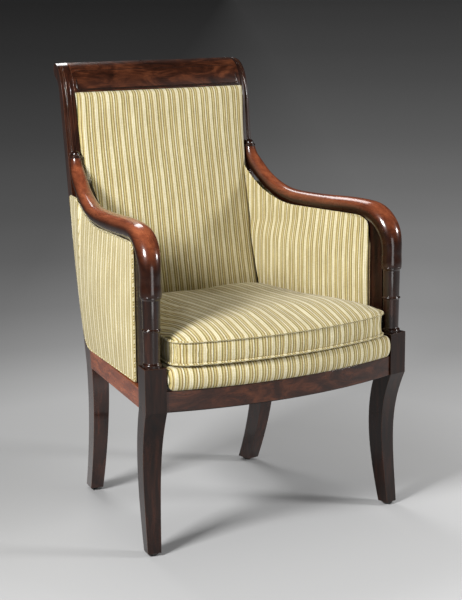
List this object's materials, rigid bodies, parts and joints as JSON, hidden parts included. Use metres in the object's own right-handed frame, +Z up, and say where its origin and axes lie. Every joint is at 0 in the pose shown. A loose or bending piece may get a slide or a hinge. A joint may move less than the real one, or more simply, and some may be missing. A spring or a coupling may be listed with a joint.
{
  "type": "bergere chair",
  "caption": "Low upholstered armchair with closed arms, rolled-back crest, sabre legs, round scrolled arms on turned posts and a loose boxed seat cushion.",
  "frame": {"origin": "centre of the chair's bounding box, on the floor", "axes": "+Z is up, +Y runs from the chair's front to its back, +X is to the right of someone who faces the chair's front"},
  "size_m": [0.6384, 0.6384, 0.966],
  "materials": {
    "mahogany": "polished",
    "beech": "plain",
    "striped_fabric": "ribbed weave, cream ground with fine olive, gold and brown stripes",
    "hessian": "coarse weave",
    "webbing": "twill weave",
    "cambric": "plain weave",
    "spring_steel": "drawn wire",
    "screw_steel": "bright",
    "glide_metal": "dark"
  },
  "bodies": {
    "chair_frame": {"left_back_stile": "mahogany", "right_back_stile": "mahogany", "left_front_leg": "mahogany", "right_front_leg": "mahogany", "left_seat_rail": "mahogany", "right_seat_rail": "mahogany", "left_arm_post": "mahogany", "right_arm_post": "mahogany", "left_arm": "mahogany", "right_arm": "mahogany", "left_arm_terminal": "mahogany", "right_arm_terminal": "mahogany", "left_panel_upright": "mahogany", "right_panel_upright": "mahogany", "left_arm_tuck_rail": "beech", "right_arm_tuck_rail": "beech", "left_arm_hessian": "hessian", "right_arm_hessian": "hessian", "left_inside_arm_pad": "striped_fabric", "right_inside_arm_pad": "striped_fabric", "left_outside_arm_cover": "striped_fabric", "right_outside_arm_cover": "striped_fabric", "left_front_corner_block": "beech", "right_front_corner_block": "beech", "left_rear_corner_block": "beech", "right_rear_corner_block": "beech", "front_seat_rail": "mahogany", "rear_seat_rail": "mahogany", "back_tuck_rail": "beech", "crest_rail": "mahogany", "foot_glides": "glide_metal", "corner_block_screws": "screw_steel", "arm_screws": "screw_steel", "seat_webbing_lengthwise": "webbing", "seat_webbing_crosswise": "webbing", "dust_cover": "cambric", "seat_springs": "spring_steel", "spring_hessian": "hessian", "seat_deck": "striped_fabric", "back_pad": "striped_fabric", "back_hessian": "hessian", "back_webbing_uprights": "webbing", "back_webbing_rows": "webbing", "outside_back_cover": "striped_fabric"},
    "seat_cushion": {"seat_cushion": "striped_fabric"}
  },
  "joints": [
    {"name": "cushion_lift", "type": "slide", "parent": "chair_frame", "child": "seat_cushion", "axis": [0, 0, 1], "range_m": [0, 0.35]}
  ]
}
